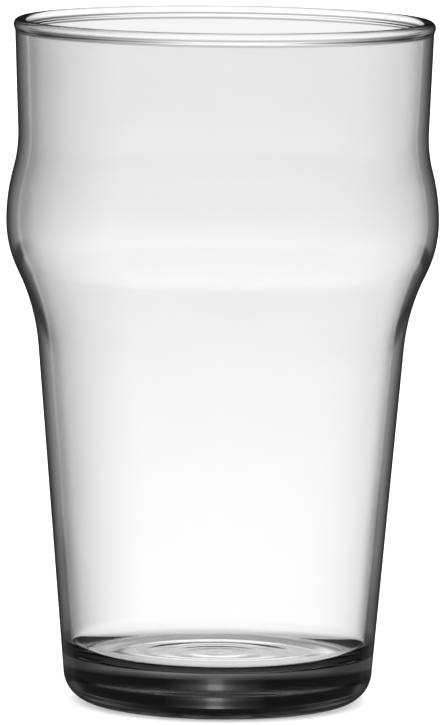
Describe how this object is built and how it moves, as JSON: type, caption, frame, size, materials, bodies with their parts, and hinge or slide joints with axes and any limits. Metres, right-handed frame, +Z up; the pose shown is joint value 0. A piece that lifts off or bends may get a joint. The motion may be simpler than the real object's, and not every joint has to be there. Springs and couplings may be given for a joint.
{
  "type": "pint glass",
  "caption": "Tall clear drinking glass with a tapered side, a rounded bulge below a beaded rim, and a thick solid foot with a rounded heel.",
  "frame": {"origin": "on the glass's axis, in the plane that its bearing ring stands on", "axes": "+Z up along the glass's axis, towards the open rim; the glass is round, so X and Y are any two square directions"},
  "size_m": [0.0896, 0.0896, 0.142],
  "materials": {
    "clear_glass": "clear, fire-polished, neutral with a faint grey-green cast where the glass is thick"
  },
  "bodies": {
    "root": {"glass_body": "clear_glass"}
  },
  "joints": []
}
